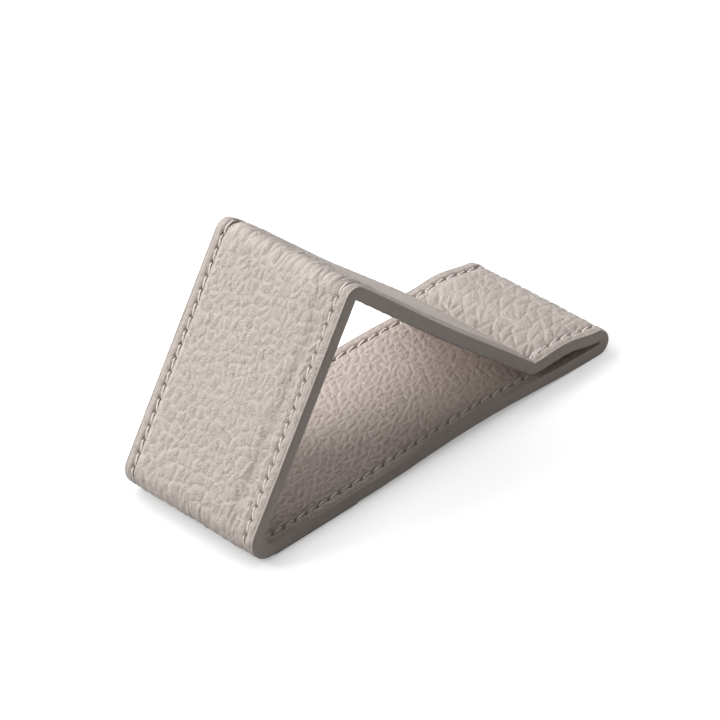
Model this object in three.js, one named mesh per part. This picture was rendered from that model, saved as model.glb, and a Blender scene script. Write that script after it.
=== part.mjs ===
// Leather phone strap, folded into a stand.
//
// Two leathers sewn back to back make one closed loop. The loop is folded at the foot of the front
// panel, at the peak and at the right end, and creased the other way at the valley. A thin pad under
// the left part of the base fastens it to a phone.
//
// Millimetres. X runs along the base from the foot of the front panel to the right end, Y across the
// strap, Z up from the surface that it stands on.

import * as THREE from 'three';

// Driving dimensions of the band
const strapWidth = 38;
const outerThickness = 1.3;
const liningThickness = 1.2;
const edgeRounding = 0.6;
const creaseInnerRadius = 0.25;

// Driving dimensions of the folded shape, measured along the joint between the two leathers
const frontPanelLength = 55.1;
const frontPanelLean = 52.9; // degrees from the base
const baseLength = 91.1; // foot of the front panel to the middle of the right fold
const tabLength = 17.6;
const valleyHeight = 5.95; // above the surface that the stand rests on
const slopeHollow = 0.8; // how far the slope panel sinks below a straight line
const tabCrown = 0.6; // how far the tab rises above one
const baseArch = 0.55; // how far the free part of the base lifts in its middle

// Driving dimensions of the sewn relief
const seamInset = 2.5;
const seamChannelHalfWidth = 0.7;
const seamChannelDepth = 0.35;
const frontPadding = 0.4;
const slopePadding = 0.25;
const tabPadding = 0.25;
const liningPadding = 0.1;
const paddingShoulder = 3.2; // width of the slope from the channel up to the full padding
const paddingRunOut = 5; // length over which the padding fades before a fold

// Driving dimensions of the mounting pad
const padThickness = 0.8;
const padStart = 5.0; // from the foot of the front panel
const padLength = 24.5;
const padSideInset = 0.5;
const padCornerRadius = 2.5;
const padChamfer = 0.3;

// How finely the round stretches are divided
const foldSteps = 12;
const endFoldSteps = 16;
const valleySteps = 5;
const panelSteps = 12;
const tabSteps = 7;
const baseSteps = 16;
const padCornerSteps = 6;

// Places that follow from the driving dimensions. The path is the joint between the leathers.
const foldRadius = liningThickness + creaseInnerRadius;
const valleyRadius = outerThickness + creaseInnerRadius;
const basePathHeight = padThickness + outerThickness;
const lean = THREE.MathUtils.degToRad(frontPanelLean);
const foot = new THREE.Vector2(0, basePathHeight);
const peak = new THREE.Vector2(
  frontPanelLength * Math.cos(lean),
  basePathHeight + frontPanelLength * Math.sin(lean),
);
const endCentre = new THREE.Vector2(baseLength, outerThickness + foldRadius);
const valleyRise = valleyHeight - endCentre.y;
const valley = new THREE.Vector2(
  endCentre.x - Math.sqrt(tabLength ** 2 - valleyRise ** 2),
  valleyHeight,
);

// Unit normal on the outer side of a path that runs clockwise round the loop
function outward(direction) {
  return new THREE.Vector2(-direction.y, direction.x).normalize();
}

// A station of the path: where it is, which way is out, and the padding of both leathers there
function station(point, normal, outerPadding = 0, liningPaddingHere = 0) {
  return { point, normal, outerPadding, liningPadding: liningPaddingHere };
}

// Stations along a straight panel that bows by a small amount and keeps its direction at both ends
function panelStations(start, end, bow, padding, steps) {
  const along = end.clone().sub(start);
  const length = along.length();
  const normal = outward(along);
  const stations = [];
  for (let i = 1; i < steps; i += 1) {
    const share = 0.5 - 0.5 * Math.cos((Math.PI * i) / steps);
    const lift = bow * Math.sin(Math.PI * share) ** 2;
    const slope = (bow * Math.PI * Math.sin(2 * Math.PI * share)) / length;
    const point = start.clone().addScaledVector(along, share).addScaledVector(normal, lift);
    const turned = normal.clone().addScaledVector(along, -slope / length).normalize();
    const toFold = Math.min(share, 1 - share) * length;
    const fullness = THREE.MathUtils.smoothstep(toFold, 0, paddingRunOut);
    stations.push(station(point, turned, padding * fullness, liningPadding * fullness));
  }
  return stations;
}

// Stations round a fold, from one outer normal to the next. A fold is hollow where it turns outward.
function foldStations(centre, radius, fromNormal, toNormal, steps, hollow = false) {
  const start = fromNormal.angle();
  let turn = toNormal.angle() - start;
  if (!hollow && turn > 0) turn -= 2 * Math.PI;
  if (hollow && turn < 0) turn += 2 * Math.PI;
  const stations = [];
  for (let i = 0; i <= steps; i += 1) {
    const angle = start + (turn * i) / steps;
    const normal = new THREE.Vector2(Math.cos(angle), Math.sin(angle));
    const point = centre.clone().addScaledVector(normal, hollow ? -radius : radius);
    stations.push(station(point, normal));
  }
  return stations;
}

// Centre of the arc that rounds the corner between two straight panels
function cornerArc(before, corner, after, radius) {
  const arriving = corner.clone().sub(before).normalize();
  const leaving = after.clone().sub(corner).normalize();
  const fromNormal = outward(arriving);
  const toNormal = outward(leaving);
  const hollow = arriving.cross(leaving) > 0;
  const bisector = fromNormal.clone().add(toNormal).normalize();
  const reach = radius / bisector.dot(fromNormal);
  const centre = corner.clone().addScaledVector(bisector, hollow ? reach : -reach);
  const side = hollow ? -radius : radius;
  return {
    centre,
    radius,
    fromNormal,
    toNormal,
    hollow,
    start: centre.clone().addScaledVector(fromNormal, side),
    end: centre.clone().addScaledVector(toNormal, side),
  };
}

function cornerStations(arc, steps) {
  return foldStations(arc.centre, arc.radius, arc.fromNormal, arc.toNormal, steps, arc.hollow);
}

// Outer normal where a straight line from a point touches the top of the end fold
function endFoldNormal(from) {
  const toCentre = endCentre.clone().sub(from);
  const lift = Math.asin(foldRadius / toCentre.length());
  return outward(toCentre.rotateAround(new THREE.Vector2(), lift));
}

// The base from the end fold back to the foot. The end fold rests on the ground, and the flat
// stretch over the pad lies higher by the pad's thickness.
function baseStations(footStart) {
  const flatEnd = padStart + padLength;
  const drop = padThickness;
  const span = endCentre.x - flatEnd;
  const stations = [];
  for (let i = 1; i <= baseSteps; i += 1) {
    const share = 1 - i / baseSteps;
    const ease = share * share * (3 - 2 * share);
    const easeSlope = 6 * share * (1 - share);
    const arch = baseArch * Math.sin(Math.PI * share) ** 2;
    const archSlope = baseArch * Math.PI * Math.sin(2 * Math.PI * share);
    const point = new THREE.Vector2(flatEnd + span * share, basePathHeight - drop * ease + arch);
    const slope = (archSlope - drop * easeSlope) / span;
    stations.push(station(point, new THREE.Vector2(slope, -1).normalize()));
  }
  stations.push(station(footStart.clone(), new THREE.Vector2(0, -1)));
  return stations;
}

// All stations of the closed path, clockwise seen from the near side
function loopStations() {
  const footArc = cornerArc(new THREE.Vector2(baseLength, basePathHeight), foot, peak, foldRadius);
  const peakArc = cornerArc(foot, peak, valley, foldRadius);
  const tabEndNormal = endFoldNormal(valley);
  const tabEnd = endCentre.clone().addScaledVector(tabEndNormal, foldRadius);
  const valleyArc = cornerArc(peak, valley, tabEnd, valleyRadius);
  const down = new THREE.Vector2(0, -1);
  return [
    ...cornerStations(footArc, foldSteps).slice(1),
    ...panelStations(footArc.end, peakArc.start, 0, frontPadding, panelSteps),
    ...cornerStations(peakArc, foldSteps),
    ...panelStations(peakArc.end, valleyArc.start, -slopeHollow, slopePadding, panelSteps),
    ...cornerStations(valleyArc, valleySteps),
    ...panelStations(valleyArc.end, tabEnd, tabCrown, tabPadding, tabSteps),
    ...foldStations(endCentre, foldRadius, tabEndNormal, down, endFoldSteps),
    ...baseStations(footArc.start),
  ];
}

// One half of the section of a leather: distance in from the cut edge, height above the joint.
// The height has a fixed share and a share that grows with the padding of the station.
function halfSection(thickness) {
  const top = thickness - edgeRounding;
  const channelEnd = seamInset + seamChannelHalfWidth;
  const corner = edgeRounding * Math.SQRT1_2;
  return [
    { inset: 0, height: 0, swell: 0 },
    { inset: 0, height: top, swell: 0 },
    { inset: edgeRounding - corner, height: top + corner, swell: 0 },
    { inset: edgeRounding, height: thickness, swell: 0 },
    { inset: seamInset - seamChannelHalfWidth, height: thickness, swell: 0 },
    { inset: seamInset, height: thickness - seamChannelDepth, swell: 0 },
    { inset: channelEnd, height: thickness, swell: 0.2 },
    { inset: channelEnd + paddingShoulder / 2, height: thickness, swell: 0.8 },
    { inset: channelEnd + paddingShoulder, height: thickness, swell: 1 },
  ];
}

// The whole section, from the near edge of the joint over the face to the far edge of the joint
function fullSection(thickness) {
  const near = halfSection(thickness).map((p) => ({ ...p, y: p.inset - strapWidth / 2 }));
  const far = near.map((p) => ({ ...p, y: -p.y })).reverse();
  return [...near, ...far];
}

// A leather is its section carried round the path, on the outer side (+1) or the inner side (-1).
function leatherGeometry(stations, thickness, side) {
  const section = fullSection(thickness);
  const positions = [];
  for (const { point, normal, outerPadding, liningPadding: innerPadding } of stations) {
    const padding = side > 0 ? outerPadding : innerPadding;
    for (const { y, height, swell } of section) {
      const offset = side * (height + swell * padding);
      positions.push(point.x + normal.x * offset, y, point.y + normal.y * offset);
    }
  }
  const around = section.length;
  const indices = [];
  for (let i = 0; i < stations.length; i += 1) {
    const here = i * around;
    const next = ((i + 1) % stations.length) * around;
    for (let j = 0; j < around; j += 1) {
      const k = (j + 1) % around;
      const quad = [here + j, next + j, next + k, here + k];
      if (side < 0) quad.reverse();
      indices.push(quad[0], quad[1], quad[2], quad[0], quad[2], quad[3]);
    }
  }
  const geometry = new THREE.BufferGeometry();
  geometry.setAttribute('position', new THREE.Float32BufferAttribute(positions, 3));
  geometry.setIndex(indices);
  geometry.computeVertexNormals();
  return geometry;
}

// Outline of a rectangle with rounded corners, counter-clockwise seen from above
function roundedRectangle(length, width, radius) {
  const points = [];
  const corners = [[1, 1], [-1, 1], [-1, -1], [1, -1]];
  corners.forEach(([sx, sy], quarter) => {
    for (let i = 0; i <= padCornerSteps; i += 1) {
      const angle = (Math.PI / 2) * (quarter + i / padCornerSteps);
      points.push([
        sx * (length / 2 - radius) + radius * Math.cos(angle),
        sy * (width / 2 - radius) + radius * Math.sin(angle),
      ]);
    }
  });
  return points;
}

// The pad: a die-cut plate whose lower rim is chamfered
function padGeometry() {
  const width = strapWidth - 2 * padSideInset;
  const full = roundedRectangle(padLength, width, padCornerRadius);
  const sole = roundedRectangle(
    padLength - 2 * padChamfer,
    width - 2 * padChamfer,
    padCornerRadius - padChamfer,
  );
  const rings = [
    sole.map(([x, y]) => [x, y, 0]),
    full.map(([x, y]) => [x, y, padChamfer]),
    full.map(([x, y]) => [x, y, padThickness]),
  ];
  const count = full.length;
  const indices = [];
  for (let ring = 0; ring + 1 < rings.length; ring += 1) {
    for (let i = 0; i < count; i += 1) {
      const a = ring * count + i;
      const b = ring * count + ((i + 1) % count);
      indices.push(a, b, b + count, a, b + count, a + count);
    }
  }
  const topStart = (rings.length - 1) * count;
  for (let i = 1; i + 1 < count; i += 1) {
    indices.push(0, i + 1, i);
    indices.push(topStart, topStart + i, topStart + i + 1);
  }
  const geometry = new THREE.BufferGeometry();
  geometry.setAttribute('position', new THREE.Float32BufferAttribute(rings.flat(2), 3));
  geometry.setIndex(indices);
  geometry.computeVertexNormals();
  return geometry;
}

const leatherColour = new THREE.Color(0.62, 0.57, 0.53);
const outerMaterial = new THREE.MeshStandardMaterial({ color: leatherColour, roughness: 0.62, metalness: 0 });
const liningMaterial = new THREE.MeshStandardMaterial({ color: leatherColour, roughness: 0.66, metalness: 0 });
const padMaterial = new THREE.MeshStandardMaterial({ color: 0x8f867e, roughness: 0.75, metalness: 0 });

const strap = new THREE.Group();
strap.name = 'leather_phone_strap';

const stations = loopStations();

const outerLeather = new THREE.Mesh(leatherGeometry(stations, outerThickness, 1), outerMaterial);
outerLeather.name = 'outer_leather';
strap.add(outerLeather);

const liningLeather = new THREE.Mesh(leatherGeometry(stations, liningThickness, -1), liningMaterial);
liningLeather.name = 'lining_leather';
strap.add(liningLeather);

const mountingPad = new THREE.Mesh(padGeometry(), padMaterial);
mountingPad.name = 'mounting_pad';
mountingPad.position.x = padStart + padLength / 2;
strap.add(mountingPad);

// The origin is under the middle of the strap, on the surface that it stands on.
outerLeather.geometry.computeBoundingBox();
const reach = outerLeather.geometry.boundingBox;
strap.position.x = -(reach.min.x + reach.max.x) / 2;

export default strap;
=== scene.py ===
import math

import bpy
import numpy as np
from mathutils import Matrix, Vector


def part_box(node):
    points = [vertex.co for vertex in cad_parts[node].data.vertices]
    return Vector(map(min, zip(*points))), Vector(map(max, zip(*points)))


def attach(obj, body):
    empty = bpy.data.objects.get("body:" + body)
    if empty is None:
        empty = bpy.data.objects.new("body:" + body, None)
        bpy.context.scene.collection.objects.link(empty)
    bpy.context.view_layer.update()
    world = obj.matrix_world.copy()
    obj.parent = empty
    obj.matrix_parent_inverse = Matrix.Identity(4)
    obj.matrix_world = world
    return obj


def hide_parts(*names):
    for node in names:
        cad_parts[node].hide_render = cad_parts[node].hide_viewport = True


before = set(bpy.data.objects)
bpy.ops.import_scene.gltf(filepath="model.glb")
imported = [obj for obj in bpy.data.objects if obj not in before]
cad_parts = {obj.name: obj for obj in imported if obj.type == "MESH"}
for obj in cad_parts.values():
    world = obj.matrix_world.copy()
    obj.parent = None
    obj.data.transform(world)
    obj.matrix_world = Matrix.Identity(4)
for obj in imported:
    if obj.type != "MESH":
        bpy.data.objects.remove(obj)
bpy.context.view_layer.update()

# Driving dimensions in millimetres, the part's own, with the soft bows and the foot fold as full as
# the photo shows them. One millimetre is MM Blender units. Angles are in degrees. FOOT_RADIUS is the
# joint's in the foot fold, where the lining bunches to 1 + FOOT_BULK times its thickness. PART_SHIFT
# brings the middle of the CAD box over the origin.
MM = 0.001
STRAP_WIDTH = 38.0
OUTER_THICKNESS = 1.3
LINING_THICKNESS = 1.2
EDGE_ROUNDING = 0.6
CREASE_INNER_RADIUS = 0.25
FRONT_PANEL_LENGTH = 55.1
FRONT_PANEL_LEAN = 52.9
BASE_LENGTH = 91.1
TAB_LENGTH = 17.6
VALLEY_HEIGHT = 5.95
SLOPE_HOLLOW = 0.4
TAB_CROWN = 0.85
BASE_ARCH = 1.1
FOOT_RADIUS = 2.65
FOOT_BULK = 0.9
PAD_THICKNESS = 0.8
PAD_START = 5.0
PAD_LENGTH = 24.5
PAD_CORNER_RADIUS = 2.5
PART_SHIFT = 47.0114

# The sewing: the channel, the holes in it, and the margin outside it, which is fuller on the slope
SEAM_INSET = 2.5
OUTER_CHANNEL_DEPTH = 0.2
LINING_CHANNEL_DEPTH = 0.24
SLOPE_CHANNEL_DEPTH = 0.2
CHANNEL_WIDTH = 0.4
NEAR_FRONT_EASE = 0.6
HOLE_DEPTH = 0.38
HOLE_LENGTH = 0.38
HOLE_WIDTH = 0.36
HOLE_SHIFT = 0.14
PUCKER_HEIGHT = 0.05
MARGIN_WIDTH = 2.1
MARGIN_RISE = 0.11
SLOPE_MARGIN_RISE = 0.16

# The stitches. Extra turns of thread are given as stitches past the start of the tab, and lift.
STITCH_PITCH = 2.8
STITCH_SHARE = 0.47
STITCH_SLANT = 0.31
STITCH_DIVE = 0.42
THREAD_RADIUS = 0.2
THREAD_SIDES = 10
BACK_TACK = ((0.05, 0.09), (0.4, 0.13), (0.7, 0.08))

# The soft core: how high it lifts each face, and where it starts in from each seam
FRONT_PADDING = 0.4
SLOPE_PADDING = 0.45
TAB_PADDING = 0.24
PEAK_PADDING = 0.36
LINING_PADDING = 0.1
NEAR_PADDING_START = 2.9
FAR_PADDING_START = 0.35
DENT_DEPTH = 0.32

# How strongly the grain shows on the margin and in the sewn channel
MARGIN_GRAIN = 0.35
CHANNEL_GRAIN = 0.15

# How far noise shifts the pebbles, so that their outlines are not straight
WARP_REACH = 0.7
FINE_WARP_REACH = 0.09

# The pebbles of each grain: dome, width of its rounding, depth of the creases, tilt of the face
FRONT_PEBBLES = (0.12, 0.7, 0.08, 0.07)
FOOT_PEBBLES = (0.12, 0.85, 0.09, 0.06)
TAB_PEBBLES = (0.15, 1.3, 0.05, 0.02)
SMALL_PEBBLES = (0.02, 0.4, 0.025, 0.04)
LINING_PEBBLES = (0.12, 0.9, 0.08, 0.03)
LINING_SMALL_PEBBLES = (0.015, 0.4, 0.02, 0.03)
CREASE_WIDTH = 0.24

# Larger lines and bumps in the leather
LONG_CREASE_DEPTH = 0.06
LONG_CREASE_WIDTH = 0.05
WRINKLE_DEPTH = 0.12
WRINKLE_WIDTH = 0.16
LINING_WRINKLE_WIDTH = 0.22
STREAK_HEIGHT = 0.035
CROWN_BUMPS = 0.16
SOFT_BUMPS = 0.06
NOTCH_DEPTH = 0.3

# The underside of the base is lowered by this much, so that its relief stays above the ground
BASE_RELIEF_DROP = 0.32

# The edge paint: how far it wraps over the faces, how proud it stands and how unevenly it lies
EDGE_WRAP = 0.5
EDGE_PROUD = 0.06
EDGE_UNEVENNESS = 0.035
EDGE_STEP = 0.45

# How finely the leather is divided: along the path where it is seen and where it is not, across a
# face, and across the band beside each seam
SEEN_STEP = 0.25
HIDDEN_STEP = 1.0
FACE_STEP = 0.3
SEAM_STEP = 0.16
SEAM_BAND = 1.2

HALF_WIDTH = STRAP_WIDTH / 2
FOLD_RADIUS = LINING_THICKNESS + CREASE_INNER_RADIUS
VALLEY_RADIUS = OUTER_THICKNESS + CREASE_INNER_RADIUS
BASE_HEIGHT = PAD_THICKNESS + OUTER_THICKNESS
random = np.random.default_rng(7)


# The path: the joint between the two leathers, clockwise seen from the near side

def vec(x, z):
    return np.array([x, z], dtype=float)


def unit(v):
    return v / np.linalg.norm(v)


def outward(direction):
    return unit(vec(-direction[1], direction[0]))


def arc_points(centre, radius, from_normal, to_normal, hollow):
    """Points and outward normals round a fold. A hollow fold turns the other way."""
    start = math.atan2(from_normal[1], from_normal[0])
    turn = (math.atan2(to_normal[1], to_normal[0]) - start) % (2 * math.pi)
    if not hollow:
        turn -= 2 * math.pi
    angles = start + turn * np.linspace(0, 1, 120)
    normals = np.stack([np.cos(angles), np.sin(angles)], axis=1)
    return centre + normals * (-radius if hollow else radius), normals


def corner_arc(before, corner, after, radius):
    """The arc that rounds a corner between two straight stretches."""
    arriving = unit(corner - before)
    leaving = unit(after - corner)
    from_normal = outward(arriving)
    to_normal = outward(leaving)
    hollow = arriving[0] * leaving[1] - arriving[1] * leaving[0] > 0
    bisector = unit(from_normal + to_normal)
    reach = radius / bisector.dot(from_normal)
    centre = corner + bisector * (reach if hollow else -reach)
    return arc_points(centre, radius, from_normal, to_normal, hollow)


def panel_points(start, end, bow):
    """A panel between two folds, bowed outward by a small amount and straight at both ends."""
    along = end - start
    length = np.linalg.norm(along)
    normal = outward(along)
    share = np.linspace(0, 1, 400)[:, None]
    points = start + along * share + normal * bow * np.sin(math.pi * share) ** 2
    slope = bow * math.pi * np.sin(2 * math.pi * share) / length
    normals = normal - along * slope / length
    return points, normals / np.linalg.norm(normals, axis=1)[:, None]


def base_points(end_centre, foot_start):
    """The base from the end fold to the foot: arched and free, then flat on the pad."""
    flat_end = PAD_START + PAD_LENGTH
    span = end_centre[0] - flat_end
    share = np.linspace(1, 0, 500)
    ease = share * share * (3 - 2 * share)
    lift = BASE_ARCH * np.sin(math.pi * share) ** 2
    slope = BASE_ARCH * math.pi * np.sin(2 * math.pi * share) - PAD_THICKNESS * 6 * share * (1 - share)
    points = np.stack([flat_end + span * share, BASE_HEIGHT - PAD_THICKNESS * ease + lift], axis=1)
    normals = np.stack([slope / span, -np.ones_like(share)], axis=1)
    normals /= np.linalg.norm(normals, axis=1)[:, None]
    flat_x = np.linspace(flat_end, foot_start[0], 200)
    flat = np.stack([flat_x, np.full_like(flat_x, BASE_HEIGHT)], axis=1)
    down = np.tile(vec(0, -1), (len(flat_x), 1))
    return np.concatenate([points, flat]), np.concatenate([normals, down])


def path_pieces():
    """Every stretch of the path in turn, each as points and normals."""
    lean = math.radians(FRONT_PANEL_LEAN)
    foot = vec(0, BASE_HEIGHT)
    peak = foot + FRONT_PANEL_LENGTH * vec(math.cos(lean), math.sin(lean))
    end_centre = vec(BASE_LENGTH, OUTER_THICKNESS + FOLD_RADIUS)
    rise = VALLEY_HEIGHT - end_centre[1]
    valley = vec(end_centre[0] - math.sqrt(TAB_LENGTH ** 2 - rise ** 2), VALLEY_HEIGHT)
    to_end = end_centre - valley
    lift = math.asin(FOLD_RADIUS / np.linalg.norm(to_end))
    turned = vec(
        to_end[0] * math.cos(lift) - to_end[1] * math.sin(lift),
        to_end[0] * math.sin(lift) + to_end[1] * math.cos(lift),
    )
    end_normal = outward(turned)
    tab_end = end_centre + FOLD_RADIUS * end_normal
    foot_arc = corner_arc(vec(BASE_LENGTH, BASE_HEIGHT), foot, peak, FOOT_RADIUS)
    peak_arc = corner_arc(foot, peak, valley, FOLD_RADIUS)
    valley_arc = corner_arc(peak, valley, tab_end, VALLEY_RADIUS)
    return [
        ("foot", foot_arc),
        ("front", panel_points(foot_arc[0][-1], peak_arc[0][0], 0)),
        ("peak", peak_arc),
        ("slope", panel_points(peak_arc[0][-1], valley_arc[0][0], -SLOPE_HOLLOW)),
        ("valley", valley_arc),
        ("tab", panel_points(valley_arc[0][-1], tab_end, TAB_CROWN)),
        ("end", arc_points(end_centre, FOLD_RADIUS, end_normal, vec(0, -1), False)),
        ("base", base_points(end_centre, foot_arc[0][0])),
    ]


class Path:
    """The closed path, read at any distance along it."""

    def __init__(self):
        points = []
        normals = []
        self.span = {}
        reached = 0.0
        for name, (place, normal) in path_pieces():
            if points:
                reached += np.linalg.norm(place[0] - points[-1][-1])
            length = np.linalg.norm(np.diff(place, axis=0), axis=1).sum()
            self.span[name] = (reached, reached + length)
            reached += length
            points.append(place)
            normals.append(normal)
        self.points = np.concatenate(points)
        self.normals = np.concatenate(normals)
        steps = np.linalg.norm(np.diff(self.points, axis=0), axis=1)
        self.distance = np.concatenate([[0], np.cumsum(steps)])
        self.length = self.distance[-1]
        self.points[:, 0] -= PART_SHIFT

    def at(self, s):
        s = np.mod(s, self.length)
        place = [np.interp(s, self.distance, self.points[:, k]) for k in (0, 1)]
        normal = [np.interp(s, self.distance, self.normals[:, k]) for k in (0, 1)]
        normal = np.stack(normal, axis=-1)
        return np.stack(place, axis=-1), normal / np.linalg.norm(normal, axis=-1)[..., None]

    def middle(self, name):
        return sum(self.span[name]) / 2

    def beside(self, s, name):
        """Distance along the path to the middle of a stretch, the short way round."""
        return np.mod(s - self.middle(name) + self.length / 2, self.length) - self.length / 2

    def within(self, s, name, fade):
        """1 inside a stretch, fading to 0 over a distance past its ends."""
        half = (self.span[name][1] - self.span[name][0]) / 2
        return 1 - smoothstep(np.abs(self.beside(s, name)), half - fade / 2, half + fade / 2)


def smoothstep(x, low, high):
    """0 below low, 1 above high, and an eased rise between them."""
    t = np.clip((x - low) / (high - low), 0, 1)
    return t * t * (3 - 2 * t)


def bell(x, width):
    """1 at 0, falling off over a width."""
    return np.exp(-(x / width) ** 2)


PATH = Path()
STITCHES = round(PATH.length / STITCH_PITCH)
PITCH = PATH.length / STITCHES


# Fields over the leather: s along the path, y across it, both in millimetres. Places and fades that
# stand as plain numbers in them are millimetres along the path or in from the seam.

class Smooth:
    """Smooth noise from -1 to 1 that closes on itself round the loop."""

    def __init__(self, scale_s, scale_y):
        self.count = max(3, round(PATH.length / scale_s))
        self.rows = int(STRAP_WIDTH / scale_y) + 4
        self.scale_y = scale_y
        self.values = random.uniform(-1, 1, (self.count, self.rows))

    def __call__(self, s, y):
        u = np.mod(s / PATH.length, 1) * self.count
        v = np.clip((y + HALF_WIDTH) / self.scale_y + 1, 0, self.rows - 1.001)
        i = np.floor(u).astype(int)
        j = np.floor(v).astype(int)
        a = smoothstep(u - i, 0, 1)
        b = smoothstep(v - j, 0, 1)
        here = i % self.count
        after = (i + 1) % self.count
        near = self.values[here, j] * (1 - a) + self.values[after, j] * a
        far = self.values[here, j + 1] * (1 - a) + self.values[after, j + 1] * a
        return near * (1 - b) + far * b


class Cells:
    """Irregular cells like the pebbles of a grain, slanted across the strap."""

    def __init__(self, size_s, size_y, slant):
        self.count = round(PATH.length / size_s)
        self.size_s = PATH.length / self.count
        self.size_y = size_y
        self.slant = slant
        self.rows = int(STRAP_WIDTH / size_y) + 9
        self.spot = 0.5 + random.uniform(-0.43, 0.43, (self.count, self.rows, 2))
        self.mark = random.uniform(0, 1, (self.count, self.rows))

    def __call__(self, s, y):
        """Distance to the nearest crease, how strong that crease is, and the tilt of the cell's face."""
        u = (s + self.slant * y) / self.size_s
        v = (y + HALF_WIDTH) / self.size_y + 4
        column = np.floor(u).astype(int)
        row = np.clip(np.floor(v).astype(int), 2, self.rows - 3)
        near = []
        for i in range(-2, 3):
            for j in range(-2, 3):
                at = ((column + i) % self.count, row + j)
                spot = self.spot[at]
                near.append([column + i + spot[..., 0] - u, row + j + spot[..., 1] - v, self.mark[at]])
        near = np.array(near)
        gap = np.hypot(near[:, 0], near[:, 1])
        order = np.argpartition(gap, (0, 1), axis=0)
        first = np.take_along_axis(near, order[:1, None], axis=0)[0]
        second = np.take_along_axis(near, order[1:2, None], axis=0)[0]
        apart = np.hypot(second[0] - first[0], second[1] - first[1])
        share = (second[0] ** 2 + second[1] ** 2 - first[0] ** 2 - first[1] ** 2) / (2 * apart)
        size = min(self.size_s, self.size_y)
        # The marks of the two cells give each crease a strength and each face a direction
        strength = np.mod((first[2] + second[2]) * 7.31, 1)
        turn = first[2] * 40
        tilt = (first[0] * np.cos(turn) + first[1] * np.sin(turn)) * size
        return share * size, strength, tilt


WARP_S = Smooth(4.5, 4.0)
WARP_Y = Smooth(4.0, 4.5)
FINE_WARP_S = Smooth(1.3, 1.2)
FINE_WARP_Y = Smooth(1.2, 1.3)
SOFT = Smooth(9.0, 8.0)
BLOTCH = Smooth(2.6, 2.4)
LONG_CREASES = Smooth(8.0, 7.0)
LENGTHWISE = Smooth(7.5, 0.95)
STREAKS = Smooth(12.0, 0.6)
CROSSWISE = Smooth(0.95, 6.0)

FRONT_CELLS = Cells(2.5, 1.75, 0.3)
FOOT_CELLS = Cells(2.7, 2.1, 0.15)
TAB_CELLS = Cells(3.3, 3.4, -0.88)
SMALL_CELLS = Cells(0.95, 0.9, 0.3)
LINING_CELLS = Cells(2.1, 1.8, 0.55)
EDGE_WOBBLE = Smooth(2.2, 1.5)


def warped(s, y):
    """Places shifted by noise, in which the pebbles are looked up."""
    ws = s + WARP_REACH * WARP_S(s, y) + FINE_WARP_REACH * FINE_WARP_S(s, y)
    wy = y + WARP_REACH * WARP_Y(s, y) + FINE_WARP_REACH * FINE_WARP_Y(s, y)
    return ws, wy


def pebbles(cells, s, y, shape):
    """Rounded pebbles with creases between them: their height, and how much of a crease each point is."""
    dome, width, depth, tilt = shape
    edge, strength, face = cells(*warped(s, y))
    rounded = 1 - (1 - np.clip(edge / width, 0, 1)) ** 2.2
    crease = (0.25 + 0.75 * strength) * bell(edge, CREASE_WIDTH)
    return dome * rounded + tilt * face * rounded - depth * crease, crease


def ridged(noise_field, s, y, width):
    """Thin lines where a smooth field crosses zero."""
    return bell(noise_field(s, y), width)


def seam_fields(s, y):
    """Distance inward from the seam line, distance from the nearest hole, and the holes as 0 to 1."""
    from_seam = HALF_WIDTH - np.abs(y) - SEAM_INSET
    phase = (np.mod(s / PITCH + 0.5, 1) - 0.5) * PITCH
    hole = bell(phase, HOLE_LENGTH) * bell(from_seam + HOLE_SHIFT, HOLE_WIDTH)
    return from_seam, phase, hole


def near_front(s, y):
    """1 along the near seam of the front panel, which is sewn less tightly than the rest."""
    return PATH.within(s, "front", 4.0) * (y < 0)


def sewn(s, y, from_seam, phase, hole, depth):
    """The sewn channel, the holes in it, the puckers beside it and the full margin outside it."""
    on_slope = PATH.within(s, "slope", 4.0)
    depth = depth * (1 - NEAR_FRONT_EASE * near_front(s, y)) + SLOPE_CHANNEL_DEPTH * on_slope
    channel = depth * bell(from_seam, CHANNEL_WIDTH)
    pucker = PUCKER_HEIGHT * np.cos(2 * math.pi * phase / PITCH) * bell(np.abs(from_seam) - 0.85, 0.55)
    rise = MARGIN_RISE + SLOPE_MARGIN_RISE * on_slope
    margin = rise * np.sin(math.pi * np.clip(-from_seam / MARGIN_WIDTH, 0, 1))
    return margin - channel - pucker - HOLE_DEPTH * hole


def padding(s, y, from_seam):
    """The soft core of each panel, which lifts the middle above the sewn margins."""
    near = y < 0
    wave = 0.8 * SOFT(s, y) + 0.45 * BLOTCH(s, y)
    start = np.where(near, NEAR_PADDING_START + wave, FAR_PADDING_START)
    shoulder = np.where(near, 2.4 + 1.2 * BLOTCH(s + 70, y), 1.2)
    risen = smoothstep(from_seam, start, start + shoulder)
    front = np.where(near, 0.3 * smoothstep(from_seam, 0.1, 1.6) + 0.7 * risen, risen)
    dented = np.clip(BLOTCH(s * 0.8 + 40, y) + 0.3, 0, 1)
    dents = dented * bell(from_seam - start + 0.3, 0.85) * near
    other = smoothstep(from_seam, 0.3, 2.6)
    in_front = PATH.within(s, "front", 5.0) * (FRONT_PADDING * front - DENT_DEPTH * dents)
    in_tab = TAB_PADDING * PATH.within(s, "tab", 3.0) * other
    in_slope = SLOPE_PADDING * PATH.within(s, "slope", 7.0) * smoothstep(from_seam, 0.2, 1.6)
    at_peak = PEAK_PADDING * PATH.within(s, "peak", 3.0) * other
    return np.maximum(in_front + in_tab + in_slope, at_peak)


def calm(from_seam):
    """How strongly the grain shows across the strap: fainter on the margins, nearly gone in the channel."""
    inside = MARGIN_GRAIN + (1 - MARGIN_GRAIN) * smoothstep(from_seam, -0.2, 1.8)
    return inside * (1 - (1 - CHANNEL_GRAIN) * bell(from_seam, 0.35))


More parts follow.
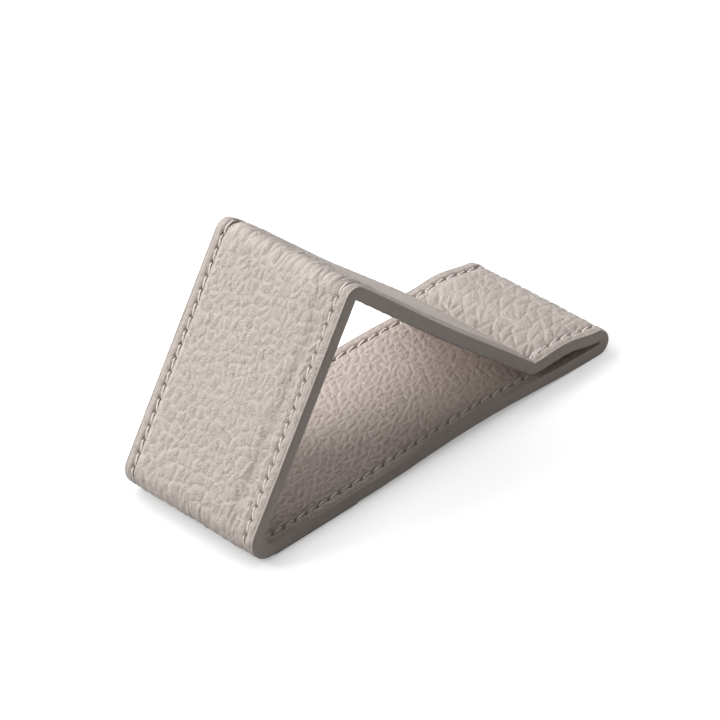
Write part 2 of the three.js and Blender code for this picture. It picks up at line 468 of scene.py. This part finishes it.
def outer_relief(s, y):
    """The outer leather's relief, how much of a crease each point is, and the needle holes."""
    from_seam, phase, hole = seam_fields(s, y)
    front_start = PATH.span["front"][0]
    slope_start, slope_end = PATH.span["slope"]
    tab_start = PATH.span["tab"][0]
    on_tab = PATH.within(s, "tab", 1.0) * (s > slope_end)
    low = 1 - smoothstep(s, front_start + 12, front_start + 30)
    on_slope = PATH.within(s, "slope", 4.0)

    front_height, front_crease = pebbles(FRONT_CELLS, s, y, FRONT_PEBBLES)
    foot_height, foot_crease = pebbles(FOOT_CELLS, s, y, FOOT_PEBBLES)
    tab_height, tab_crease = pebbles(TAB_CELLS, s, y, TAB_PEBBLES)
    small_height, small_crease = pebbles(SMALL_CELLS, s, y, SMALL_PEBBLES)
    # The tab's pebbles bulge beside the valley and flatten towards the far seam
    tab_height = tab_height * (1 + bell(s - tab_start - 2.0, 1.8) - 0.35 * smoothstep(y, 0, 14))

    height = front_height * (1 - low) + foot_height * low
    crease = front_crease * (1 - low) + foot_crease * low
    height = height * (1 - on_tab) + tab_height * on_tab
    crease = crease * (1 - on_tab) + tab_crease * on_tab
    plain = 1 - 0.75 * on_slope * smoothstep(s, slope_start + 2, slope_start + 14)
    height = (height + small_height * (1 - 0.6 * on_tab)) * plain
    crease = (crease + 0.4 * small_crease) * plain

    long_lines = ridged(LONG_CREASES, s, y, LONG_CREASE_WIDTH)
    foot_reach = 1 - smoothstep(PATH.beside(s, "foot"), 6, 13)
    folded = np.maximum(foot_reach * PATH.within(s, "foot", 26), PATH.within(s, "peak", 12))
    wrinkles = ridged(LENGTHWISE, s, y, WRINKLE_WIDTH) * folded
    streaks = STREAKS(s, y) * on_slope
    height = height - LONG_CREASE_DEPTH * long_lines - WRINKLE_DEPTH * wrinkles + STREAK_HEIGHT * streaks
    crown = CROWN_BUMPS * BLOTCH(s + 11, y) * PATH.within(s, "peak", 8) * smoothstep(from_seam, 0.5, 3)
    notch = NOTCH_DEPTH * bell(PATH.beside(s, "peak"), 1.6) * bell(from_seam - 0.9, 1.3) * (y > 0)

    level = height * calm(from_seam) + padding(s, y, from_seam) + crown - notch
    level = level + sewn(s, y, from_seam, phase, hole, OUTER_CHANNEL_DEPTH) + SOFT_BUMPS * SOFT(s, y)
    level = level - BASE_RELIEF_DROP * PATH.within(s, "base", 2.0)
    return level, np.clip(crease * calm(from_seam), 0, 1), hole


def lining_relief(s, y):
    """The same three fields for the lining."""
    from_seam, phase, hole = seam_fields(s, y)
    height, crease = pebbles(LINING_CELLS, s, y, LINING_PEBBLES)
    small_height, small_crease = pebbles(SMALL_CELLS, s, y, LINING_SMALL_PEBBLES)
    base_start, base_end = PATH.span["base"]
    folded = smoothstep(s, base_end - 9, base_end - 2) * (s > base_start)
    wrinkles = ridged(CROSSWISE, s, y, LINING_WRINKLE_WIDTH) * folded
    tight = np.clip(sum(PATH.within(s, name, 2.0) for name in ("foot", "peak", "end")), 0, 1)
    share = calm(from_seam) * (1 - 0.6 * tight)
    level = (height + small_height - WRINKLE_DEPTH * wrinkles) * share
    level = level + LINING_PADDING * smoothstep(from_seam, 0.3, 2.6) * (1 - tight)
    level = level + sewn(s, y, from_seam, phase, hole, LINING_CHANNEL_DEPTH)
    return level, np.clip((crease + 0.3 * small_crease) * share, 0, 1), hole


# Meshes

def across():
    """Places across a face, finer along the two seams."""
    inner = HALF_WIDTH - EDGE_ROUNDING
    seam = HALF_WIDTH - SEAM_INSET
    margin = np.arange(inner, seam + SEAM_BAND, -FACE_STEP)
    band = np.arange(seam + SEAM_BAND, seam - SEAM_BAND, -SEAM_STEP)
    middle = np.linspace(seam - SEAM_BAND, 0, round((seam - SEAM_BAND) / FACE_STEP))
    half = np.concatenate([margin, band, middle])
    return np.concatenate([-half, half[-2::-1]])


def stations(hidden):
    """Places along the path, finer on the panels whose face is in sight."""
    if hidden == "base":
        start = PATH.span["base"][0]
        seen = np.arange(0, start, SEEN_STEP)
        return np.concatenate([seen, np.arange(start, PATH.length - 0.2, HIDDEN_STEP)])
    start = PATH.span["front"][0] + 4
    end = PATH.span["end"][0] - 4
    parts = (np.arange(0, start, SEEN_STEP), np.arange(start, end, HIDDEN_STEP))
    return np.concatenate([*parts, np.arange(end, PATH.length - 0.1, SEEN_STEP)])


def section(thickness):
    """One leather's section: y, height above the joint, and the share of relief it takes."""
    face = across()
    rows = [(-HALF_WIDTH, 0.0, 0.0), (-HALF_WIDTH, (thickness - EDGE_ROUNDING) / 2, 0.0)]
    for angle in np.radians([0, 22.5, 45, 67.5]):
        inset = EDGE_ROUNDING * (1 - math.cos(angle))
        rise = thickness - EDGE_ROUNDING * (1 - math.sin(angle))
        rows.append((inset - HALF_WIDTH, rise, 0.0))
    rows += [(y, thickness, 1.0) for y in face]
    mirrored = [(-y, rise, share) for y, rise, share in rows[:6]]
    return np.array(rows + mirrored[::-1])


def make_object(name, vertices, faces, material, smooth=True):
    mesh = bpy.data.meshes.new(name)
    mesh.from_pydata((np.asarray(vertices) * MM).tolist(), [], faces)
    mesh.validate()
    mesh.materials.append(material)
    if smooth:
        mesh.shade_smooth()
    piece = bpy.data.objects.new(name, mesh)
    bpy.context.scene.collection.objects.link(piece)
    return piece


def loop_faces(count, around, flip):
    """Quads of a closed loop of closed rings."""
    i = np.arange(count)[:, None]
    j = np.arange(around)[None, :]
    here = i * around
    after = ((i + 1) % count) * around
    k = (j + 1) % around
    quads = np.stack([here + j, after + j, after + k, here + k], axis=-1).reshape(-1, 4)
    return (quads[:, ::-1] if flip else quads).tolist()


def lining_bulk(s):
    """How much thicker the lining bunches inside the foot fold."""
    return 1 + FOOT_BULK * bell(PATH.beside(s, "foot"), 3.2)


def add_attribute(piece, name, values):
    field = piece.data.attributes.new(name, "FLOAT", "POINT")
    field.data.foreach_set("value", np.asarray(values, dtype=np.float32).ravel())


def add_skin(piece, s, y):
    """Where each point lies on the unfolded band, rolled to a cylinder so that its ends meet."""
    turn = 2 * math.pi * s / PATH.length
    radius = PATH.length / (2 * math.pi)
    rolled = np.stack([radius * np.cos(turn), radius * np.sin(turn), y], axis=-1)
    field = piece.data.attributes.new("skin", "FLOAT_VECTOR", "POINT")
    field.data.foreach_set("vector", rolled.astype(np.float32).ravel())


def leather(name, thickness, side, relief, hidden, material):
    """One leather: its section carried round the path, on the outer side (1) or the inner side (-1)."""
    rows = section(thickness)
    s = stations(hidden)
    place, normal = PATH.at(s)
    grid_s, grid_y = np.meshgrid(s, rows[:, 0], indexing="ij")
    level, crease, hole = relief(grid_s, grid_y)
    bulk = lining_bulk(grid_s) if side < 0 else 1
    height = rows[None, :, 1] * bulk + level * rows[None, :, 2]
    x = place[:, None, 0] + side * normal[:, None, 0] * height
    z = place[:, None, 1] + side * normal[:, None, 1] * height
    vertices = np.stack([x, grid_y, z], axis=-1).reshape(-1, 3)
    piece = make_object(name, vertices, loop_faces(len(s), len(rows), side < 0), material)
    add_attribute(piece, "crease", crease * rows[None, :, 2])
    # The needle holes, stored as hollow, where the leather material paints shade into them
    add_attribute(piece, "hollow", hole * rows[None, :, 2])
    add_skin(piece, grid_s, grid_y)
    return piece


def edge_paint(name, side_y, material):
    """The painted band over the cut edge, slightly proud and rounded over both faces."""
    half_band = (OUTER_THICKNESS + LINING_THICKNESS) / 2
    middle = (OUTER_THICKNESS - LINING_THICKNESS) / 2
    ring = []
    for share in np.linspace(-1, 1, 15):
        angle = share * math.pi / 2
        bulge = abs(math.cos(angle)) ** 0.45
        rise = middle + (half_band + 0.03) * math.copysign(abs(math.sin(angle)) ** 0.62, share)
        ring.append((EDGE_WRAP * (1 - bulge) - EDGE_PROUD, rise))
    ring += [(0.7, middle + half_band - 0.5), (0.7, middle - half_band + 0.5)]
    ring = np.array(ring)
    inset, level = ring.T[:, None, :]
    count = round(PATH.length / EDGE_STEP)
    s = np.arange(count) * PATH.length / count
    place, normal = PATH.at(s)
    wobble = EDGE_UNEVENNESS * EDGE_WOBBLE(s[:, None], level * 3)
    rise = np.where(level < 0, level * lining_bulk(s[:, None]), level)
    x = place[:, None, 0] + normal[:, None, 0] * rise
    z = place[:, None, 1] + normal[:, None, 1] * rise
    y = side_y * (HALF_WIDTH - inset + wobble)
    vertices = np.stack([x, y, z], axis=-1).reshape(-1, 3)
    return make_object(name, vertices, loop_faces(count, len(ring), side_y < 0), material)


def stitch_line(side_y, face, index, extra):
    """Centre line of one stitch: up out of a hole, along the channel on a slant, and down again.

    An extra turn of thread lies higher and more across the seam than the stitch under it.
    """
    thickness = OUTER_THICKNESS if face > 0 else LINING_THICKNESS
    share = np.linspace(-1, 1, 13)
    s = (index + 0.5 + STITCH_SHARE * share) * PITCH
    slant = STITCH_SLANT + 0.06 * math.sin(index * 2.4) + 3 * extra
    y = side_y * (HALF_WIDTH - SEAM_INSET) + slant * share * np.where(face > 0, 1, -1)
    rise = thickness - 0.02 + extra - STITCH_DIVE * np.abs(share) ** 5
    if face < 0:
        rise = rise + 0.08 + LINING_THICKNESS * (lining_bulk(s) - 1)
    else:
        rise = rise - BASE_RELIEF_DROP * PATH.within(s, "base", 2.0)
    place, normal = PATH.at(s)
    x = place[:, 0] + face * normal[:, 0] * rise
    z = place[:, 1] + face * normal[:, 1] * rise
    return np.stack([x, y, z], axis=1), normal * face, share


def stitch_tube(centre, normal, share):
    """A two-ply thread along a centre line, pressed a little flat and thinner where it goes in."""
    tangent = np.gradient(centre, axis=0)
    tangent /= np.linalg.norm(tangent, axis=1)[:, None]
    up = np.stack([normal[:, 0], np.zeros(len(normal)), normal[:, 1]], axis=1)
    side = np.cross(tangent, up)
    side /= np.linalg.norm(side, axis=1)[:, None]
    up = np.cross(side, tangent)
    angles = np.arange(THREAD_SIDES) * 2 * math.pi / THREAD_SIDES
    twist = share[:, None] * 4.2
    radius = THREAD_RADIUS * (1 - 0.35 * np.abs(share[:, None]) ** 4)
    radius = radius * (1 + 0.16 * np.cos(2 * (angles[None, :] - twist)))
    ring = radius[..., None] * (
        1.2 * np.cos(angles)[None, :, None] * side[:, None, :]
        + 0.7 * np.sin(angles)[None, :, None] * up[:, None, :]
    )
    return (centre[:, None, :] + ring).reshape(-1, 3)


def thread(name, side_y, material):
    """One seam: every stitch on both faces, as one piece."""
    turns = [(face, index, 0.0) for face in (1, -1) for index in range(STITCHES)]
    if side_y < 0:
        tack = PATH.span["tab"][0] / PITCH
        turns += [(1, tack + along, lift) for along, lift in BACK_TACK]
    tubes = [stitch_tube(*stitch_line(side_y, *turn)) for turn in turns]
    faces = []
    for number, tube in enumerate(tubes):
        start = number * len(tube)
        last = start + len(tube) - THREAD_SIDES
        for low in range(start, last, THREAD_SIDES):
            high = low + THREAD_SIDES
            for j in range(THREAD_SIDES):
                k = (j + 1) % THREAD_SIDES
                faces.append((low + j, low + k, high + k, high + j))
        faces.append(tuple(reversed(range(start, start + THREAD_SIDES))))
        faces.append(tuple(range(last, last + THREAD_SIDES)))
    return make_object(name, np.concatenate(tubes), faces, material)


def pad(name, material):
    """The mounting pad: a thin plate with a soft rim, in the place of the CAD pad."""
    low, high = (Vector(corner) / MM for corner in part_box("mounting_pad"))
    rim = [(0.55, low.z), (0.2, low.z + 0.05), (0.0, low.z + 0.28), (0.0, high.z - 0.12), (0.1, high.z)]
    corners = ((1, 1), (-1, 1), (-1, -1), (1, -1))
    steps = 8
    vertices = []
    for inset, z in rim:
        reach = PAD_CORNER_RADIUS - inset
        for quarter, (sx, sy) in enumerate(corners):
            cx = (high.x if sx > 0 else low.x) - sx * PAD_CORNER_RADIUS
            cy = (high.y if sy > 0 else low.y) - sy * PAD_CORNER_RADIUS
            for i in range(steps + 1):
                angle = math.pi / 2 * (quarter + i / steps)
                vertices.append((cx + reach * math.cos(angle), cy + reach * math.sin(angle), z))
    around = 4 * (steps + 1)
    faces = []
    last = (len(rim) - 1) * around
    for a in range(0, last, around):
        for j in range(around):
            k = (j + 1) % around
            faces.append((a + j, a + k, a + around + k, a + around + j))
    faces.append(tuple(reversed(range(around))))
    faces.append(tuple(range(last, last + around)))
    return make_object(name, vertices, faces, material, smooth=False)


# Materials, whose colours are linear

LEATHER_LIGHT = (0.60, 0.52, 0.475)
LEATHER_DARK = (0.555, 0.48, 0.435)
OUTER_CREASE = (0.71, 0.625, 0.58)
LINING_CREASE = (0.74, 0.65, 0.60)
# Painted shade: the dark colour put into the needle holes
PAINTED_HOLE_SHADE = (0.10, 0.08, 0.07)
EDGE_LIGHT = (0.64, 0.56, 0.51)
EDGE_DARK = (0.57, 0.495, 0.45)
THREAD_LIGHT = (0.93, 0.88, 0.84)
THREAD_DARK = (0.80, 0.74, 0.69)
PAD_LIGHT = (0.36, 0.31, 0.28)
PAD_DARK = (0.30, 0.26, 0.23)


def new_material(name):
    material = bpy.data.materials.new(name)
    material.use_nodes = True
    tree = material.node_tree
    shader = tree.nodes["Principled BSDF"]
    return material, tree, shader


def noise(tree, place, scale, roughness=0.55):
    node = tree.nodes.new("ShaderNodeTexNoise")
    node.inputs["Scale"].default_value = scale
    node.inputs["Detail"].default_value = 3.0
    node.inputs["Roughness"].default_value = roughness
    tree.links.new(place, node.inputs["Vector"])
    return node.outputs["Fac"]


def mix_colour(tree, factor, first, second):
    node = tree.nodes.new("ShaderNodeMix")
    node.data_type = "RGBA"
    tree.links.new(factor, node.inputs["Factor"])
    for socket, value in ((node.inputs["A"], first), (node.inputs["B"], second)):
        if isinstance(value, tuple):
            socket.default_value = (*value, 1)
        else:
            tree.links.new(value, socket)
    return node.outputs["Result"]


def scaled(tree, value, factor, offset=0.0):
    """A value times a factor plus an offset, kept from 0 to 1."""
    node = tree.nodes.new("ShaderNodeMath")
    node.operation = "MULTIPLY_ADD"
    node.use_clamp = True
    tree.links.new(value, node.inputs[0])
    node.inputs[1].default_value = factor
    node.inputs[2].default_value = offset
    return node.outputs["Value"]


def attribute(tree, name):
    node = tree.nodes.new("ShaderNodeAttribute")
    node.attribute_name = name
    return node.outputs["Fac"]


def bump(tree, shader, height, distance, strength):
    node = tree.nodes.new("ShaderNodeBump")
    node.inputs["Strength"].default_value = strength
    node.inputs["Distance"].default_value = distance
    tree.links.new(height, node.inputs["Height"])
    tree.links.new(node.outputs["Normal"], shader.inputs["Normal"])


def coordinates(tree):
    return tree.nodes.new("ShaderNodeTexCoord").outputs["Object"]


def fine_creases(tree, skin, size, width):
    """A network of fine creases, 1 on a crease."""
    node = tree.nodes.new("ShaderNodeTexVoronoi")
    node.feature = "DISTANCE_TO_EDGE"
    node.inputs["Scale"].default_value = 1 / size
    tree.links.new(skin, node.inputs["Vector"])
    return scaled(tree, node.outputs["Distance"], -1 / width, 1.0)


def product(tree, first, second):
    node = tree.nodes.new("ShaderNodeMath")
    node.operation = "MULTIPLY"
    tree.links.new(first, node.inputs[0])
    tree.links.new(second, node.inputs[1])
    return node.outputs["Value"]


def warped_skin(tree):
    """The unfolded band's coordinates, shifted a little by noise so that creases are not straight."""
    skin = tree.nodes.new("ShaderNodeAttribute")
    skin.attribute_name = "skin"
    shift = tree.nodes.new("ShaderNodeTexNoise")
    shift.inputs["Scale"].default_value = 0.9
    tree.links.new(skin.outputs["Vector"], shift.inputs["Vector"])
    mixed = tree.nodes.new("ShaderNodeVectorMath")
    mixed.operation = "MULTIPLY_ADD"
    tree.links.new(shift.outputs["Color"], mixed.inputs[0])
    mixed.inputs[1].default_value = (0.9, 0.9, 0.9)
    tree.links.new(skin.outputs["Vector"], mixed.inputs[2])
    return skin.outputs["Vector"], mixed.outputs["Vector"]


def leather_material(name, roughness, crease_tint):
    """Leather with soft tone changes, its creases tinted, painted shade in its needle holes, and fine
    creases and pores.
    """
    material, tree, shader = new_material(name)
    skin, bent = warped_skin(tree)
    tone = mix_colour(tree, noise(tree, skin, 0.09), LEATHER_DARK, LEATHER_LIGHT)
    creased = mix_colour(tree, scaled(tree, attribute(tree, "crease"), 0.85), tone, crease_tint)
    # Painted shade: the needle holes, stored as hollow, are darkened towards a near-black colour
    hole_shaded = mix_colour(tree, scaled(tree, attribute(tree, "hollow"), 0.85), creased, PAINTED_HOLE_SHADE)
    tree.links.new(hole_shaded, shader.inputs["Base Color"])
    rough = scaled(tree, noise(tree, skin, 1.4), 0.22, roughness - 0.11)
    tree.links.new(rough, shader.inputs["Roughness"])
    shader.inputs["Specular IOR Level"].default_value = 0.38
    some = scaled(tree, noise(tree, skin, 0.5), 2.2, -0.6)
    creases = product(tree, fine_creases(tree, bent, 0.95, 0.16), some)
    pores = noise(tree, skin, 3.2, 0.6)
    relief = scaled(tree, creases, -0.6, 0.6)
    both = tree.nodes.new("ShaderNodeMath")
    both.operation = "MULTIPLY_ADD"
    tree.links.new(pores, both.inputs[0])
    both.inputs[1].default_value = 0.35
    tree.links.new(relief, both.inputs[2])
    bump(tree, shader, both.outputs["Value"], 0.00018, 1.0)
    return material


def edge_material(name):
    material, tree, shader = new_material(name)
    place = coordinates(tree)
    tone = mix_colour(tree, noise(tree, place, 500.0), EDGE_DARK, EDGE_LIGHT)
    tree.links.new(tone, shader.inputs["Base Color"])
    shader.inputs["Roughness"].default_value = 0.6
    shader.inputs["Specular IOR Level"].default_value = 0.3
    bump(tree, shader, noise(tree, place, 900.0), 0.00015, 0.5)
    return material


def thread_material(name):
    material, tree, shader = new_material(name)
    place = coordinates(tree)
    tone = mix_colour(tree, noise(tree, place, 2500.0), THREAD_DARK, THREAD_LIGHT)
    tree.links.new(tone, shader.inputs["Base Color"])
    shader.inputs["Roughness"].default_value = 0.5
    shader.inputs["Sheen Weight"].default_value = 0.2
    return material


def pad_material(name):
    material, tree, shader = new_material(name)
    place = coordinates(tree)
    tone = mix_colour(tree, noise(tree, place, 300.0), PAD_DARK, PAD_LIGHT)
    tree.links.new(tone, shader.inputs["Base Color"])
    shader.inputs["Roughness"].default_value = 0.75
    bump(tree, shader, noise(tree, place, 3000.0), 0.00008, 0.5)
    return material


def dress():
    """Builds every piece and ties it to the frame."""
    outer_grain = leather_material("outer_leather_grain", 0.52, OUTER_CREASE)
    lining_grain = leather_material("lining_leather_grain", 0.58, LINING_CREASE)
    edge = edge_material("edge_paint")
    yarn = thread_material("sewing_thread")
    pieces = []
    outer = leather("outer_leather_skin", OUTER_THICKNESS, 1, outer_relief, "base", outer_grain)
    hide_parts("outer_leather")
    pieces.append((outer, "outer_leather"))
    lining = leather("lining_leather_skin", LINING_THICKNESS, -1, lining_relief, "panels", lining_grain)
    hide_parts("lining_leather")
    pieces.append((lining, "lining_leather"))
    sole = pad("mounting_pad_plate", pad_material("pad_rubber"))
    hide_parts("mounting_pad")
    pieces.append((sole, "mounting_pad"))
    for word, side_y in (("near", -1), ("far", 1)):
        pieces.append((edge_paint(f"edge_paint_{word}", side_y, edge), "outer_leather"))
        pieces.append((thread(f"seam_thread_{word}", side_y, yarn), "outer_leather"))
    for piece, slot in pieces:
        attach(piece, "root")


# Stage, light and camera: the camera in degrees and millimetres, the rest in metres and watts

CAMERA_AZIMUTH = -37.268
CAMERA_ELEVATION = 34.595
CAMERA_ROLL = -7.78
CAMERA_DISTANCE = 900.0
FOCAL_PIXELS = 4680.0
PICTURE_PIXELS = 720
SENSOR = 36.0
AIM = np.array([0.0, 0.0, 16.0])
AIM_SHIFT = (0.096, 1.224)

LIGHT_AIM = (0, 0, 0.02)
LIGHT_SIZE = 0.5
LIGHTS = (
    ("key", (-0.55, 0.5, 0.6), 6.9),
    ("back_high", (0.0, 0.5, 0.85), 2.4),
    ("back_low", (0.12, 0.85, 0.42), 2.7),
    ("right_fill", (0.8, 0.15, 0.5), 0.9),
    ("front_fill", (0.35, -0.85, 0.35), 0.85),
)

# The floor is nearly white where the camera sees it, duller where it throws light back, and its glow is
# dimmed close to the strap by ambient occlusion, a painted shadow
FLOOR_REACH = 3.0
FLOOR_DROP = 0.00002
SEEN_FLOOR = 0.45
FLOOR_BOUNCE = 0.35
FLOOR_GLOW = 0.6
# Glow left in the deepest painted shadow, and the reach of the ambient occlusion that paints it
GLOW_IN_PAINTED_SHADOW = 0.25
PAINTED_SHADOW_REACH = 0.009
WORLD_FILL = 0.03


def camera():
    """The camera that was fitted to the folded outline in the photo."""
    a = math.radians(CAMERA_AZIMUTH)
    e = math.radians(CAMERA_ELEVATION)
    r = math.radians(CAMERA_ROLL)
    level = np.array([math.cos(a), math.sin(a), 0.0])
    back = np.array([math.sin(a) * math.cos(e), -math.cos(a) * math.cos(e), math.sin(e)])
    upright = np.cross(back, level)
    right = math.cos(r) * level + math.sin(r) * upright
    up = -math.sin(r) * level + math.cos(r) * upright
    place = AIM - AIM_SHIFT[0] * right - AIM_SHIFT[1] * up + CAMERA_DISTANCE * back
    lens = bpy.data.cameras.new("camera")
    lens.sensor_width = SENSOR
    lens.lens = FOCAL_PIXELS * SENSOR / PICTURE_PIXELS
    lens.clip_start = 0.01
    lens.clip_end = 20.0
    eye = bpy.data.objects.new("camera", lens)
    bpy.context.scene.collection.objects.link(eye)
    turn = Matrix([[right[k], up[k], back[k]] for k in range(3)]).to_4x4()
    eye.matrix_world = Matrix.Translation(Vector(place * MM)) @ turn
    bpy.context.scene.camera = eye


def lamp(name, place, power):
    """A round soft light that points at the strap."""
    data = bpy.data.lights.new(name, "AREA")
    data.shape = "DISK"
    data.size = LIGHT_SIZE
    data.energy = power
    light = bpy.data.objects.new(name, data)
    bpy.context.scene.collection.objects.link(light)
    light.location = place
    direction = Vector(LIGHT_AIM) - Vector(place)
    light.rotation_euler = direction.to_track_quat("-Z", "Y").to_euler()


def seen_directly(tree):
    """1 for rays that look at the background: from the camera, mirrored or through glass."""
    path = tree.nodes.new("ShaderNodeLightPath")
    total = path.outputs["Is Camera Ray"]
    for name in ("Is Glossy Ray", "Is Transmission Ray"):
        node = tree.nodes.new("ShaderNodeMath")
        node.operation = "MAXIMUM"
        tree.links.new(total, node.inputs[0])
        tree.links.new(path.outputs[name], node.inputs[1])
        total = node.outputs["Value"]
    return total


def floor():
    """A white floor that keeps the shadow, with a painted shadow close to the strap where ambient occlusion
    dims its glow.
    """
    corners = [(x * FLOOR_REACH, y * FLOOR_REACH, 0) for x, y in ((-1, -1), (1, -1), (1, 1), (-1, 1))]
    mesh = bpy.data.meshes.new("floor")
    mesh.from_pydata(corners, [], [(0, 1, 2, 3)])
    ground = bpy.data.objects.new("floor", mesh)
    bpy.context.scene.collection.objects.link(ground)
    ground.location.z = -FLOOR_DROP
    material = bpy.data.materials.new("floor_white")
    material.use_nodes = True
    tree = material.node_tree
    tree.nodes.clear()
    diffuse = tree.nodes.new("ShaderNodeBsdfDiffuse")
    seen = seen_directly(tree)
    tree.links.new(scaled(tree, seen, SEEN_FLOOR - FLOOR_BOUNCE, FLOOR_BOUNCE), diffuse.inputs["Color"])
    glow = tree.nodes.new("ShaderNodeEmission")
    # Painted shadow: ambient occlusion dims the floor's glow close to the strap
    painted_contact_shadow = tree.nodes.new("ShaderNodeAmbientOcclusion")
    painted_contact_shadow.samples = 24
    painted_contact_shadow.inputs["Distance"].default_value = PAINTED_SHADOW_REACH
    glow_dimmed_by_painted_shadow = scaled(tree, painted_contact_shadow.outputs["AO"], FLOOR_GLOW, GLOW_IN_PAINTED_SHADOW)
    tree.links.new(product(tree, seen, glow_dimmed_by_painted_shadow), glow.inputs["Strength"])
    both = tree.nodes.new("ShaderNodeAddShader")
    output = tree.nodes.new("ShaderNodeOutputMaterial")
    tree.links.new(diffuse.outputs["BSDF"], both.inputs[0])
    tree.links.new(glow.outputs["Emission"], both.inputs[1])
    tree.links.new(both.outputs["Shader"], output.inputs["Surface"])
    mesh.materials.append(material)


def studio():
    """A world that is white to look at and lights the strap only a little."""
    world = bpy.data.worlds.new("studio")
    bpy.context.scene.world = world
    world.use_nodes = True
    tree = world.node_tree
    background = tree.nodes["Background"]
    background.inputs["Color"].default_value = (1, 1, 1, 1)
    node = tree.nodes.new("ShaderNodeMath")
    node.operation = "MULTIPLY_ADD"
    tree.links.new(seen_directly(tree), node.inputs[0])
    node.inputs[1].default_value = 1 - WORLD_FILL
    node.inputs[2].default_value = WORLD_FILL
    tree.links.new(node.outputs["Value"], background.inputs["Strength"])


dress()
camera()
floor()
studio()
for light in LIGHTS:
    lamp(*light)
bpy.context.scene.view_settings.view_transform = "Standard"
